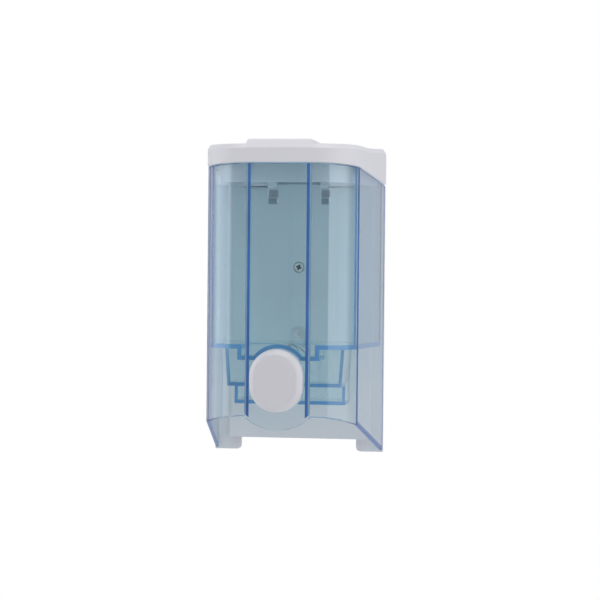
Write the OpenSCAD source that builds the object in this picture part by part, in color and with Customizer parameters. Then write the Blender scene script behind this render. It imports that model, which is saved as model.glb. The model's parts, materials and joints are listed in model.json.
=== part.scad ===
// Wall mounted soap dispenser: a refillable tank behind a clear front cover, a lid on a
// hinge, and a horizontal piston pump behind a push button.
// Frame: X to the right, +Y into the wall (the wall is the plane Y = 0), +Z up. The origin
// is on the wall plane, on the centreline, halfway up the back plate. Heights in this file
// are above the feet, and depths are forward of the wall.

/* [Housing] */
// Width of the housing at the wall
rear_w = 115; // [112:0.5:118]
// Width of the housing at its front corners
corner_w = 98.4; // [97:0.2:100]
// Depth of the front corners
corner_d = 75.5; // [75:0.5:76]
// Depth of the front panel
panel_d = 95.4; // [95.2:0.1:95.8]
// Width of the raised front panel
panel_w = 39.8; // [38:0.2:41]
// How far the panel stands proud of the faces beside it
panel_step = 1.1; // [0.8:0.1:1.4]
// Radius of the round faces beside the panel
cheek_r = 29.7; // [29.5:0.1:30]
// Wall thickness of the front cover
cover_t = 2.2; // [1.8:0.1:2.4]
// Height of the lid seam at the wall
seam_h = 179.4; // [178:0.2:180]
// Rise of the seam for each mm of depth
seam_slope = 0.11; // [0.1:0.01:0.12]
// Height of the cover's lower edge at the wall
skirt_h = 0.5; // [0.4:0.1:1]
// Rise of the lower edge for each mm of depth
skirt_slope = 0.302; // [0.29:0.002:0.31]
// Height of the lowest point of the round lobe under the button
lobe_h = 20; // [19:0.5:21]

/* [Lid] */
// Height of the lid's top at the front
lid_h = 202; // [201.8:0.1:202.4]
// Height of the lid's top at the wall
lid_rear_h = 204.1; // [204:0.1:204.4]
// Height of the raised band on the lid
band_h = 205; // [204.8:0.1:205.4]
// Angle to which the lid opens
lid_open = 80; // [60:5:80]

/* [Tank] */
// Wall thickness of the tank
tank_t = 2; // [1.8:0.1:2.2]
// Gap between the cover and the tank
tank_gap = 0.6; // [0.4:0.1:0.8]
// Height of the tank's main floor, underside
floor_h = 71.6; // [71.4:0.1:71.8]
// Thickness of the main floor
floor_t = 2.9; // [2.5:0.1:3]
// Depth of the sump's front wall, outer face
sump_d = 67; // [66.5:0.5:67.5]
// Height of the sump's front shelf, underside
shelf_h = 46.6; // [46:0.2:47]
// Height of the sump's lowest floor, underside
well_h = 33.7; // [33:0.1:34]

/* [Pump] */
// Width of the push button
button_w = 34; // [33.6:0.2:34.2]
// Height of the push button
button_h = 39.8; // [39.4:0.2:40]
// Height of the button's centre
button_z = 51.9; // [51.7:0.1:52.1]
// Depth of the button's face at rest
button_d = 104; // [103.6:0.2:104.4]
// Travel of the button
travel = 9; // [8:0.5:9]
// Height of the pump's axis
pump_z = 59; // [58.8:0.1:59.2]

/* [Hidden] */
$fn = 64;

origin_h = 100;                     // the origin's height above the feet
fit_gap = 0.05;                     // radial clearance of a running fit
seam_gap = 0.3;                     // gap between the lid's edge and the cover's
eps = 0.01;
far = 300;                          // longer than anything it cuts

clear_blue = [0.55, 0.72, 0.86, 0.45];
white = [0.90, 0.90, 0.92];
plate_white = [0.86, 0.88, 0.89];
pump_white = [0.93, 0.93, 0.90];
rubber_grey = [0.25, 0.26, 0.28];
steel = [0.72, 0.73, 0.75];

// Plan of the housing
rear_half = rear_w / 2;
corner_half = corner_w / 2;
side_slope = (rear_half - corner_half) / corner_d;      // the sides close in by this
cheek_x = 21.6;                                         // centre of the round faces
cheek_d = panel_d - panel_step - cheek_r;

// Back plate
plate_t = 2.5;
field_half = 47;                    // the raised field in the middle of the plate
field_d = 6;
plate_foot = 8.4;                   // height of the plate's lower edge between the feet
foot_x = 39.3;                      // inner edge of each foot
foot_r = 3.2;
tongue_half = 50;                   // the part of the plate that stands up under the lid
tongue_h = 194;
slot_x = 18;
slot_w = 7;
slot_low = 166.5;
slot_high = 176.5;
screw_h = 124;                      // height of the wall screw
screw_head_r = 3.1;
screw_sink_r = 3.7;
screw_hole_r = 2.25;
pocket_half = 5.4;                  // round-topped pocket of the lower fixing hole
pocket_top = 84.4;
pocket_low = 70;
pocket_deep = 2;
low_hole_h = pocket_top - pocket_half;

// Tank
tank_in = cover_t + tank_gap;       // inset of the tank's outer face
bore_in = tank_in + tank_t;         // inset of its inner face
tank_back = 7;                      // depth of the tank's rear face
tank_top = 195;
sump_top_half = 39.2;
sump_low_half = 37.3;
well_d = 42;                        // front of the deep well at the back of the sump
sump_floor_t = 2.4;
drop_half = 26.2;                   // the floor steps down between these
drop_h = 64.6;
drop_t = 2.7;
arch_in = button_w / 2 + 0.6;       // inner radius of the arch over the button
arch_out = arch_in + 2.4;
button_mid = (button_h - button_w) / 2;                 // half the button's straight side
arch_z = button_z + button_mid;

// Lid and hinge
hinge_d = 3;
hinge_h = 201.3;
knuckle_r = 2.45;
pin_r = 1.25;
lid_t = 2.2;
lid_flat_d = 45;                    // the top is level forward of this depth
band_back = 16;                     // depth at which the raised band starts
band_base = 21.8;                   // half the band's width where it meets the lid
band_half = 19.7;                   // and at its top
lid_trim_r = 21.2;                  // the rear ends of the skirt are cut to this round the hinge
lip_t = 1.8;
lip_low = 178;
lip_in = bore_in + 1.9;
lip_back = 3.2;                     // the lip sits this much further back, to swing clear
lip_rear = 10;
lip_notch = 14.5;
lid_out = 0.3;                      // the lid stands proud of the cover's sides by this
tank_knuckle = [28, 40];
lid_knuckle = [40.4, 51];

// Pump, with depths along its axis
gasket_t = 1.2;
flange_d = sump_d + gasket_t;
flange_t = 2.2;
flange_r = 10;
barrel_r = 8;
barrel_bore = 6.3;
barrel_front = 88;
chamber_d = 71;
spigot_r = 5;
spigot_back = 57;
nipple_r = 3.6;
nipple_back = 51;
port_r = 2.4;
collar_d = 78.6;                    // the spring's seat on the barrel
collar_t = 1.6;
collar_r = 10.2;
rod_r = 3.5;
head_r = 6;
head_back = 82;
head_l = 4.5;
spout_d = 74;
spout_r = 3.2;
spout_low = 46;
elbow_d = 32;
elbow_r = 5.2;
seat_h = 45;
ball_r = 3;
ball_lift = 2.5;
spring_r = 9.4;
wire_r = 0.5;
button_face_t = 3;
button_wall = 1.8;
button_back = 89;

// ---- helpers ----

// Heights above the feet become heights in the part's own frame.
module from_feet() { translate([0, 0, -origin_h]) children(); }

// A flat shape of (x, height) drawn out from depth d0 to depth d1.
module forward(d0, d1) { translate([0, -d0, 0]) rotate([90, 0, 0]) linear_extrude(d1 - d0) children(); }

// A flat shape of (-depth, height) drawn out from x0 to x1.
module across(x0, x1) { translate([x0, 0, 0]) rotate([90, 0, 90]) linear_extrude(x1 - x0) children(); }

// A flat plan of (x, -depth) drawn out from height h0 to height h1.
module upright(h0, h1) { translate([0, 0, h0]) linear_extrude(h1 - h0) children(); }

// A round bar along the depth, from depth d0 to depth d1, at height h.
module bar(r, d0, d1, h = pump_z, x = 0) { translate([x, -d0, h]) rotate([90, 0, 0]) cylinder(r = r, h = d1 - d0); }

// A round post from height h0 to height h1 at depth d.
module post(r, h0, h1, d) { translate([0, -d, h0]) cylinder(r = r, h = h1 - h0); }

// A round bar along X at the hinge.
module hinge_bar(r, x0, x1) { translate([x0, -hinge_d, hinge_h]) rotate([0, 90, 0]) cylinder(r = r, h = x1 - x0); }

// The housing's plan, drawn in by inset. step is how far the panel stands proud, and panel
// is false for a front without it.
module plan(inset, step = panel_step, out = 0, panel = true) {
    half0 = rear_half + out - inset;
    front = panel_d - step - inset;
    round_r = cheek_r + panel_step - step - inset;
    intersection() {
        polygon([[-half0, 0], [half0, 0],
                 [half0 - side_slope * front, -front], [-(half0 - side_slope * front), -front]]);
        union() {
            translate([-far / 2, -cheek_d]) square([far, cheek_d]);
            translate([-cheek_x, -front]) square([2 * cheek_x, front]);
            for (side = [-1, 1]) translate([side * cheek_x, -cheek_d]) circle(r = round_r, $fn = 96);
        }
    }
    half = panel_w / 2 - inset;
    if (panel) translate([-half, -(panel_d - inset)]) square([2 * half, panel_d / 2]);
}

// Everything behind depth d.
module behind(d) { translate([-far / 2, -d, -far / 2]) cube([far, far, 2 * far]); }

// Everything above, or below, a plane that rises by slope for each mm of depth.
module above(h, slope) {
    across(-far / 2, far / 2) polygon([[1, h - slope], [1, far], [-far, far], [-far, h + slope * far]]);
}
module below(h, slope) {
    across(-far / 2, far / 2) polygon([[1, h - slope], [1, -far], [-far, -far], [-far, h + slope * far]]);
}

// The button's outline, a rectangle with round ends, grown by more.
module oval(more = 0) {
    for (end = [-1, 1]) translate([0, button_z + end * button_mid]) circle(r = button_w / 2 + more);
    translate([-button_w / 2 - more, button_z - button_mid]) square([button_w + 2 * more, 2 * button_mid]);
}

// ---- back plate ----

module plate_outline() {
    top = seam_h - seam_gap;
    difference() {
        union() {
            translate([-rear_half, 0]) square([rear_w, top]);
            translate([-tongue_half, 0]) square([2 * tongue_half, tongue_h]);
        }
        difference() {
            translate([-foot_x, -1]) square([2 * foot_x, plate_foot + 1]);
            for (side = [-1, 1]) {
                translate([side * (foot_x - 0.8), plate_foot]) rotate(45) square(1.1, center = true);
            }
        }
        for (side = [-1, 1]) foot_corner(side);
    }
}

// The round inner corner at the bottom of a foot.
module foot_corner(side) {
    mirror([side > 0 ? 0 : 1, 0]) difference() {
        translate([foot_x - 1, -1]) square([foot_r + 1, foot_r + 1]);
        translate([foot_x + foot_r, foot_r]) circle(r = foot_r);
    }
}

module back_plate() {
    from_feet() color(plate_white) difference() {
        union() {
            forward(0, plate_t) plate_outline();
            forward(0, field_d) translate([-field_half, plate_foot]) square([2 * field_half, 180 - plate_foot]);
        }
        // the hollow behind the raised field, with its bosses and ribs left standing
        difference() {
            forward(-1, field_d - plate_t) translate([-field_half + plate_t, plate_foot + plate_t])
                square([2 * (field_half - plate_t), 180 - plate_foot - 2 * plate_t]);
            bar(7, -2, field_d, screw_h);
            forward(-2, field_d) translate([-8, pocket_low - 4]) square([16, pocket_top - pocket_low + 8]);
            forward(-2, field_d) translate([-1.2, plate_foot]) square([2.4, 100]);
            forward(-2, field_d) translate([-field_half, 95]) square([2 * field_half, 10]);
            forward(-2, field_d) translate([-field_half, 40]) square([2 * field_half, 2.4]);
            forward(-2, field_d) translate([-field_half, 150]) square([2 * field_half, 2.4]);
        }
        for (side = [-1, 1]) forward(-1, field_d + 1)
            translate([side * slot_x - slot_w / 2, slot_low]) square([slot_w, slot_high - slot_low]);
        // the wall screw's hole and countersink
        bar(screw_hole_r, -1, field_d + 1, screw_h);
        translate([0, -(field_d - 2.2), screw_h]) rotate([90, 0, 0])
            cylinder(r1 = screw_hole_r, r2 = screw_sink_r, h = 2.2 + eps);
        // the lower fixing hole in its round-topped pocket
        bar(screw_hole_r, -1, field_d + 1, low_hole_h);
        bar(pocket_half, field_d - pocket_deep, field_d + 1, low_hole_h);
        forward(field_d - pocket_deep, field_d + 1)
            translate([-pocket_half, pocket_low]) square([2 * pocket_half, low_hole_h - pocket_low]);
    }
}

module wall_screw() {
    head_back = field_d - 2.0;
    from_feet() color(steel) difference() {
        union() {
            bar(screw_hole_r - 0.25, 0, head_back + eps, screw_h);
            translate([0, -head_back, screw_h]) rotate([90, 0, 0])
                cylinder(r1 = screw_hole_r - 0.25, r2 = screw_head_r, h = 1.7);
        }
        for (turn = [0, 90]) translate([0, -(head_back + 1.7), screw_h]) rotate([0, turn, 0])
            cube([3.2, 2.2, 0.8], center = true);
    }
}

// ---- front cover ----

module front_cover() {
    from_feet() color(clear_blue) difference() {
        union() {
            upright(0, 195) plan(0);
            // the lobe under the button
            intersection() {
                forward(panel_d - cover_t, panel_d) translate([-panel_w / 2, lobe_h]) square([panel_w, 20]);
                bar(30.4, panel_d - far / 2, panel_d + 1, lobe_h + 30.4);
            }
        }
        translate([0, 0, -1]) upright(0, 197) plan(cover_t);
        // the open back
        translate([-(rear_half - cover_t), -3, -1]) cube([rear_w - 2 * cover_t, 10, 200]);
        behind(plate_t + 0.1);
        above(seam_h - seam_gap / 2, seam_slope);
        // the slanted lower edge, which leaves the lobe standing
        difference() {
            below(skirt_h, skirt_slope);
            intersection() {
                forward(panel_d - cover_t, panel_d + 1) translate([-panel_w / 2, lobe_h]) square([panel_w, 20]);
                bar(30.4, panel_d - far / 2, panel_d + 1, lobe_h + 30.4);
            }
        }
        forward(panel_d - 10, panel_d + 1) oval(0.5);
    }
}

// ---- tank ----

module tank_plan(inset, rear) {
    intersection() {
        plan(inset, panel = false);
        translate([-far / 2, -far - rear]) square([far, far]);
    }
}

module sump_profile(inset, low) {
    polygon([[-(sump_top_half - inset), floor_h + floor_t + eps], [-(sump_low_half - inset), shelf_h],
             [-(sump_low_half - inset), low], [sump_low_half - inset, low],
             [sump_low_half - inset, shelf_h], [sump_top_half - inset, floor_h + floor_t + eps]]);
}

// Solid outside of the tank.
module tank_body() {
    upright(floor_h, tank_top) tank_plan(tank_in, tank_back);
    intersection() {
        upright(drop_h, floor_h + 1) tank_plan(tank_in, tank_back);
        forward(sump_d - tank_t, far) translate([-drop_half, drop_h]) square([2 * drop_half, 10]);
    }
    forward(tank_back, sump_d) sump_profile(0, shelf_h);
    forward(tank_back, well_d) sump_profile(0, well_h);
}

// The space inside it.
module tank_space() {
    rear = tank_back + tank_t;
    front = sump_d - tank_t;
    upright(floor_h + floor_t, tank_top + 1) tank_plan(bore_in, rear);
    forward(rear, front) sump_profile(tank_t, shelf_h + sump_floor_t);
    forward(rear, well_d - tank_t) sump_profile(tank_t, well_h + sump_floor_t);
    // the floor's step down, beside the arch
    intersection() {
        upright(drop_h + drop_t, floor_h + floor_t + 1) tank_plan(bore_in, rear);
        difference() {
            forward(front - 1, far) translate([-drop_half + 2.4, drop_h]) square([2 * (drop_half - 2.4), 12]);
            bar(arch_out, 0, far, arch_z);
        }
    }
}

// The tank's half of the hinge, on top of its rear wall.
module tank_hinge(x0, x1) {
    hinge_bar(knuckle_r, x0, x1);
    across(x0, x1) polygon([[-tank_back, tank_top - 4], [-(tank_back + tank_t), tank_top - 4],
                            [-(tank_back + tank_t), 197], [-5.2, hinge_h], [-hinge_d, hinge_h - knuckle_r + 0.1]]);
}

module tank() {
    from_feet() color(clear_blue) difference() {
        union() {
            difference() {
                tank_body();
                difference() {
                    tank_space();
                    bar(arch_out, sump_d - tank_t, far, arch_z);
                }
                bar(arch_in, sump_d, far, arch_z);
            }
            for (side = [-1, 1]) {
                tank_hinge(min(side * tank_knuckle[0], side * tank_knuckle[1]),
                           max(side * tank_knuckle[0], side * tank_knuckle[1]));
                tank_hook(side * slot_x);
            }
        }
        hinge_bar(pin_r + 0.02, -far / 2, far / 2);
        bar(spigot_r + 0.2, sump_d - 5, sump_d + 5);
    }
}

// A hook that goes through the plate's slot and down behind it.
module tank_hook(x) {
    half = slot_w / 2 - 0.5;
    across(x - half, x + half) polygon([
        [-tank_back - eps, slot_low + 0.3], [-(field_d - plate_t) + 0.3, slot_low + 0.3],
        [-(field_d - plate_t) + 0.3, slot_low - 5], [-1, slot_low - 4], [-1, slot_low + 4.5],
        [-tank_back - eps, slot_low + 4.5]]);
}

module hinge_pin() {
    from_feet() color(steel) hinge_bar(pin_r, -lid_knuckle[1], lid_knuckle[1]);
}

// ---- lid ----

// The profile under the lid's top, from the side, lowered by drop.
module under_top(drop) {
    across(-far / 2, far / 2) polygon([
        [1, 150], [1, lid_rear_h - drop], [0, lid_rear_h - drop], [-lid_flat_d, lid_h - drop],
        [-far, lid_h - drop], [-far, 150]]);
}

// The lid's outside, drawn in by inset and lowered by drop.
module lid_layer(inset, drop) {
    intersection() {
        upright(175, lid_rear_h + 1) plan(inset, 0, lid_out);
        under_top(drop);
    }
}

module lid_shell() {
    difference() {
        union() {
            lid_layer(0, 1.6);
            lid_layer(0.6, 0.7);
            lid_layer(1.6, 0);
            lid_band();
        }
        difference() {
            intersection() {
                upright(170, lid_rear_h) plan(lid_t, 0, lid_out);
                under_top(lid_t);
            }
            lip();
        }
        // open towards the wall
        translate([-(rear_half + lid_out - lid_t), -3, 170])
            cube([rear_w + 2 * (lid_out - lid_t), 10, lid_rear_h - lid_t - 170]);
    }
}

// The raised band that runs back over the lid from the front panel.
module lid_band() {
    forward(band_back, panel_d - 0.8) polygon([
        [-band_base, lid_h - 1], [-band_base, lid_h + 0.3], [-band_half, band_h],
        [band_half, band_h], [band_base, lid_h + 0.3], [band_base, lid_h - 1]]);
}

// The lip inside the tank's mouth.
module lip() {
    intersection() {
        union() {
            difference() {
                upright(lip_low, lid_rear_h) translate([0, lip_back]) plan(lip_in);
                upright(lip_low - 1, lid_rear_h + 1) translate([0, lip_back]) plan(lip_in + lip_t);
                behind(lip_rear);
            }
            lip_rear_wall();
            for (side = [-1, 1]) across(side * slot_x - 2.6, side * slot_x + 2.6)
                translate([-lip_rear - 4, lip_low]) square([4, lid_rear_h - lip_low]);
        }
        under_top(1);
    }
}

// The lip's rear wall, with a notch in the middle.
module lip_rear_wall() {
    difference() {
        intersection() {
            upright(lip_low, lid_rear_h) translate([0, lip_back]) plan(lip_in);
            forward(lip_rear, lip_rear + lip_t) translate([-far / 2, 0]) square([far, far]);
        }
        translate([-lip_notch, -far / 2, 0]) cube([2 * lip_notch, far, lid_h - lid_t]);
    }
}

module lid() {
    from_feet() color(white) difference() {
        union() {
            difference() {
                lid_shell();
                // the lid's lower edge follows the seam, and the lip passes below it
                difference() {
                    below(seam_h + seam_gap / 2, seam_slope);
                    lip();
                }
                // the rear ends of the skirt are cut round the hinge, to turn clear
                difference() {
                    translate([-far / 2, -5.5, 150]) cube([far, 10, 35]);
                    hinge_bar(lid_trim_r, -far, far);
                }
                difference() {
                    translate([-far / 2, -hinge_d, hinge_h]) cube([far, 10, 10]);
                    hinge_bar(hinge_d - 0.25, -far, far);
                }
                behind(hinge_d - 2.75);
                for (side = [-1, 1]) translate([side * (tank_knuckle[0] + tank_knuckle[1]) / 2, -hinge_d + 5, hinge_h])
                    cube([tank_knuckle[1] - tank_knuckle[0] + 0.8, 16, 8], center = true);
            }
            for (side = [-1, 1]) lid_hinge(min(side * lid_knuckle[0], side * lid_knuckle[1]),
                                           max(side * lid_knuckle[0], side * lid_knuckle[1]));
            lid_hinge(-20, 20);
        }
        hinge_bar(pin_r + fit_gap, -lid_knuckle[1] - 0.3, lid_knuckle[1] + 0.3);
    }
}

module lid_hinge(x0, x1) {
    hinge_bar(knuckle_r, x0, x1);
    web_top = lid_rear_h - lid_t + 0.2;
    across(x0, x1) polygon([[-hinge_d, hinge_h], [-hinge_d - 2.4, hinge_h], [-hinge_d - 4, web_top],
                            [-hinge_d, web_top]]);
}

// ---- button and piston ----

module push_button() {
    from_feet() color(white) {
        difference() {
            union() {
                forward(button_back, button_d - 2.4) oval();
                forward(button_d - 2.4 - eps, button_d - 1) oval(-1);
                forward(button_d - 1 - eps, button_d) oval(-2.6);
            }
            forward(button_back - 1, button_d - button_face_t) oval(-button_wall);
        }
        difference() {
            bar(5.5, button_d - button_face_t - 2, button_d - button_face_t + eps);
            bar(rod_r + 0.02, button_d - 10, button_d - button_face_t);
        }
    }
}

module piston() {
    from_feet() color(pump_white) difference() {
        union() {
            bar(rod_r, head_back + head_l - eps, button_d - button_face_t);
            bar(head_r, head_back, head_back + head_l);
        }
        difference() {
            bar(head_r + 1, head_back + 1.4, head_back + 3.1);
            bar(head_r - 1.4, head_back, head_back + head_l);
        }
    }
}

module piston_seal() {
    from_feet() color(rubber_grey) difference() {
        bar(barrel_bore - fit_gap, head_back + 1.4, head_back + 3.1);
        bar(head_r - 1.4, head_back, head_back + head_l);
    }
}

// ---- pump ----

module pump_barrel() {
    from_feet() color(pump_white) difference() {
        union() {
            bar(flange_r, flange_d, flange_d + flange_t);
            bar(barrel_r, flange_d, barrel_front - 4);
            bar(barrel_r - 0.7, barrel_front - 5, barrel_front);
            bar(collar_r, collar_d, collar_d + collar_t);
            bar(spigot_r, spigot_back, flange_d + eps);
            bar(nipple_r, nipple_back, spigot_back + eps);
            post(spout_r, spout_low, pump_z - barrel_r + 1, spout_d);
        }
        bar(barrel_bore, chamber_d, barrel_front + 1);
        bar(port_r, nipple_back - 1, chamber_d + 1);
        post(2, spout_low - 1, pump_z - barrel_bore + 1, spout_d);
    }
}

module barrel_cap() {
    from_feet() color(pump_white) difference() {
        bar(8.5, barrel_front - 3.6, barrel_front + 1.5);
        bar(barrel_r - 0.7 + 0.02, barrel_front - 4, barrel_front);
        bar(rod_r + fit_gap, barrel_front - 1, barrel_front + 2);
    }
}

module pump_gasket() {
    from_feet() color(rubber_grey) difference() {
        bar(9.5, sump_d, sump_d + gasket_t);
        bar(spigot_r + 0.1, sump_d - 1, sump_d + gasket_t + 1);
    }
}

module pump_nut() {
    from_feet() color(pump_white) difference() {
        translate([0, -(sump_d - tank_t - 4), pump_z]) rotate([90, 0, 0]) cylinder(r = 8, h = 4, $fn = 6);
        bar(spigot_r + 0.05, sump_d - tank_t - 5, sump_d);
    }
}

module return_spring() {
    turns = 6;
    steps = 14;                     // rings in each turn
    sides = 6;
    d0 = collar_d + collar_t + wire_r;
    d1 = button_d - button_face_t - wire_r;
    count = turns * steps;
    ring = [for (i = [0 : count]) [i * 360 / steps, d0 + (d1 - d0) * i / count]];
    points = [for (p = ring, s = [0 : sides - 1])
        let (r = spring_r + wire_r * cos(s * 360 / sides))
        [r * cos(p[0]), -(p[1] + wire_r * sin(s * 360 / sides)), r * sin(p[0])]];
    walls = [for (i = [0 : count - 1], s = [0 : sides - 1])
        [i * sides + s, i * sides + (s + 1) % sides, (i + 1) * sides + (s + 1) % sides, (i + 1) * sides + s]];
    ends = [[for (s = [sides - 1 : -1 : 0]) s], [for (s = [0 : sides - 1]) count * sides + s]];
    from_feet() color(steel) translate([0, 0, pump_z]) polyhedron(points, concat(walls, ends));
}

// ---- suction side ----

module suction_elbow() {
    leg_low = 39;
    stop_h = seat_h + 2 * ball_r + ball_lift + 0.3;
    from_feet() color(pump_white) difference() {
        union() {
            bar(elbow_r, elbow_d, spigot_back - 0.5);
            post(elbow_r, leg_low, pump_z, elbow_d);
            translate([0, -elbow_d, pump_z]) sphere(r = elbow_r);
        }
        bar(port_r, elbow_d, nipple_back + 1);
        bar(nipple_r + fit_gap, nipple_back - 0.5, spigot_back + 1);
        post(port_r, stop_h - 1, pump_z, elbow_d);
        post(ball_r + 0.4, seat_h, stop_h, elbow_d);
        post(2.2, leg_low - 1, seat_h + 1, elbow_d);
    }
}

module inlet_ball() {
    sit = sqrt(ball_r * ball_r - 2.2 * 2.2) + 0.05;
    from_feet() color(steel) translate([0, -elbow_d, seat_h + sit]) sphere(r = ball_r);
}

module suction_strainer() {
    low = 37;
    from_feet() color(pump_white) difference() {
        post(elbow_r + 1.2, low, 42, elbow_d);
        post(elbow_r + 0.05, 39, 43, elbow_d);
        post(elbow_r - 1.2, low + 1, 40, elbow_d);
        for (turn = [0 : 45 : 135]) translate([0, -elbow_d, low + 1.5]) rotate([0, 0, turn]) cube([20, 1, 1.2], center = true);
    }
}

// ---- outlet side ----

module outlet_nozzle() {
    from_feet() color(pump_white) difference() {
        post(4.2, 36, 48.7, spout_d);
        post(spout_r + 0.05, spout_low - 1, 51, spout_d);
        post(2.6, 35, spout_low, spout_d);
    }
}

module spout_ring() {
    from_feet() color(rubber_grey) difference() {
        post(spout_r, spout_low - 1, spout_low, spout_d);
        post(2, spout_low - 2, spout_low + 1, spout_d);
    }
}

module outlet_valve() {
    from_feet() color(rubber_grey) difference() {
        union() {
            post(4.0, 34.8, 36, spout_d);
            intersection() {
                post(2.5, 31.8, 34.9, spout_d);
                across(-4, 4) translate([-spout_d, 0])
                    polygon([[-2.5, 35], [2.5, 35], [0.9, 31], [-0.9, 31]]);
            }
        }
        across(-1.6, 1.6) translate([-spout_d, 0]) polygon([[-1.6, 37], [1.6, 37], [0.25, 31], [-0.25, 31]]);
    }
}

module nozzle_cap() {
    from_feet() color(pump_white) difference() {
        post(4.9, 31.2, 41, spout_d);
        post(4.25, 34.8, 42, spout_d);
        post(2.9, 31, 35, spout_d);
    }
}

back_plate();
wall_screw();
front_cover();
tank();
hinge_pin();
lid();
push_button();
piston();
piston_seal();
return_spring();
pump_barrel();
barrel_cap();
pump_gasket();
pump_nut();
suction_elbow();
inlet_ball();
suction_strainer();
outlet_nozzle();
spout_ring();
outlet_valve();
nozzle_cap();
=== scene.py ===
"""Looks of a wall mounted soap dispenser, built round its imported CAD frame.

Lengths in this script are millimetres until a mesh is made. A place is written as (x, d, h):
x to the right, d forward of the wall and h above the plate's feet. What a CAD node's box or a
joint tells is taken from the frame. The other sizes are those of the CAD part, apart from the band
on the lid, whose flanks stand a little steeper here. The radii, the bevels and the finer curves
are added.
"""

import json
import math

import bmesh
import bpy
from mathutils import Matrix, Vector


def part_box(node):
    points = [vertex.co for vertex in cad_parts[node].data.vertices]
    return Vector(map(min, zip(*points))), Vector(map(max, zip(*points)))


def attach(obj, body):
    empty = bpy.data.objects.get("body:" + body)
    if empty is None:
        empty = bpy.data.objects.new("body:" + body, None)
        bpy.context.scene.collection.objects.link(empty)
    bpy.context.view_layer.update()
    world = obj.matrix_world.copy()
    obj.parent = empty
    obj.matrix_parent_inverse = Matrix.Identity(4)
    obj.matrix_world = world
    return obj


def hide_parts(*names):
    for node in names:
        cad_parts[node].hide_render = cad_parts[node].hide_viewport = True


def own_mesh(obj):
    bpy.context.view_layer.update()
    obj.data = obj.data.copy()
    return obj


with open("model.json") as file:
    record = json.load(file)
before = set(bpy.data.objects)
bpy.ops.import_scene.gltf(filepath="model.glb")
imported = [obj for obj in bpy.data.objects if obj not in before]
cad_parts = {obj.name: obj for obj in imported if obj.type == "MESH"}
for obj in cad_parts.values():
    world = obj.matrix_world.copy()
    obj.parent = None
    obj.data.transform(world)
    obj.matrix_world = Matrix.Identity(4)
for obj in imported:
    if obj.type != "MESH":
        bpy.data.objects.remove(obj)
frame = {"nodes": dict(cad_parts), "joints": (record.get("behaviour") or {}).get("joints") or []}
scene = bpy.context.scene
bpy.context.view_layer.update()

MM = 0.001
FAR = 300                       # longer than anything it cuts
APART = 0.02                    # keeps faces that meet from lying on each other
SIDES = (-1, 1)                 # left and right
ORIGIN_H = round(-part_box("back_plate")[0].z / MM)       # height of the frame's origin above the feet


def extent_of(node):
    """A CAD node's lowest and highest (x, d, h), to a hundredth."""
    low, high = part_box(node)
    ends = ((low.x, -high.y, low.z), (high.x, -low.y, high.z))
    return [(round(x / MM, 2), round(d / MM, 2), round(z / MM + ORIGIN_H, 2)) for x, d, z in ends]


def centre_of(node):
    """The middle of a CAD node's box as (x, d, h)."""
    return [round((a + b) / 2, 2) for a, b in zip(*extent_of(node))]


# What the frame tells of the plate: half its width, the front of its raised field and its top.
REAR_HALF, FIELD_D, TONGUE_H = extent_of("back_plate")[1]
# Of the cover: its rear and the front of its raised panel.
(_, COVER_BACK, _), (_, PANEL_D, _) = extent_of("front_cover")
# Of the lid: the lowest point of its lip and the top of its band.
(_, _, LIP_LOW), (_, _, BAND_H) = extent_of("lid")
# Of the button: its rear, half its width and its face.
(_, BUTTON_BACK, _), (BUTTON_HALF, BUTTON_D, _) = extent_of("push_button")
# The axes of the button, the pump, the screw and the hinge.
BUTTON_H = centre_of("push_button")[2]
PUMP_H = centre_of("piston")[2]
SCREW_H = centre_of("wall_screw")[2]
_, HINGE_D, HINGE_H = centre_of("hinge_pin")
# The underside of the tank's well.
WELL_H = extent_of("tank")[0][2]
# The button's slide, and the place where its spring rests on the pump's barrel.
button_push = next(joint for joint in frame["joints"] if joint["name"] == "button_push")
SPRING_BACK = round(-button_push["deforming_nodes"][0]["fixed_end_y_m"] / MM, 2)

# Fineness of the meshes
ROUND_STEPS = 5                 # in the corners of an outline
OVAL_STEPS = 24                 # in each half of the button's outline
BAR_STEPS = 64
HINGE_STEPS = 48
ARCH_STEPS = 96
SMOOTH_ANGLE = 14               # degrees; sharper edges are shaded as edges
WELD_DIST = 0.02                # points closer than this become one before edges are rounded
SLIVER_DIST = 0.005             # and edges shorter than this go
SMALL_EDGE = 0.25               # radius on the edges of knuckles and hooks
LIP_EDGE = 0.4
PLATE_EDGE = 0.35

# Housing
CORNER_HALF = 49.2              # half the width at the front corners
CORNER_D = 75.5
SIDE_SLOPE = (REAR_HALF - CORNER_HALF) / CORNER_D
PANEL_HALF = 19.9
PANEL_STEP = 1.1                # how far the panel stands out of the cheeks
CHEEK_R = 29.7                  # the round stretch between panel and corner
CHEEK_X = 21.6
CHEEK_D = PANEL_D - PANEL_STEP - CHEEK_R
EDGE_LINE = 1.9                 # width of the painted shade line along the panel's edges and the lower rim

# Steps of the housing's plan
JOG_HOLLOW = 0.7                # radius in the corner beside the panel
JOG_STRETCH = 1.5               # how far that corner runs out sideways
JOG_EDGE = 0.35                 # radius on the panel's edge
JOG_STEPS = 4
CHEEK_STEPS = 28
PANEL_STEPS = 14
# Depths of the points along the side: close together where the lid's rear is round, one on each
# side of the cut in its rim, and then as close as its rising top needs.
SIDE_STOPS = (0.25, 0.5, 1, 1.8, 3, 5.4, 5.6, 15, 25, 35, 40, 45, 50, 60)

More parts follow.
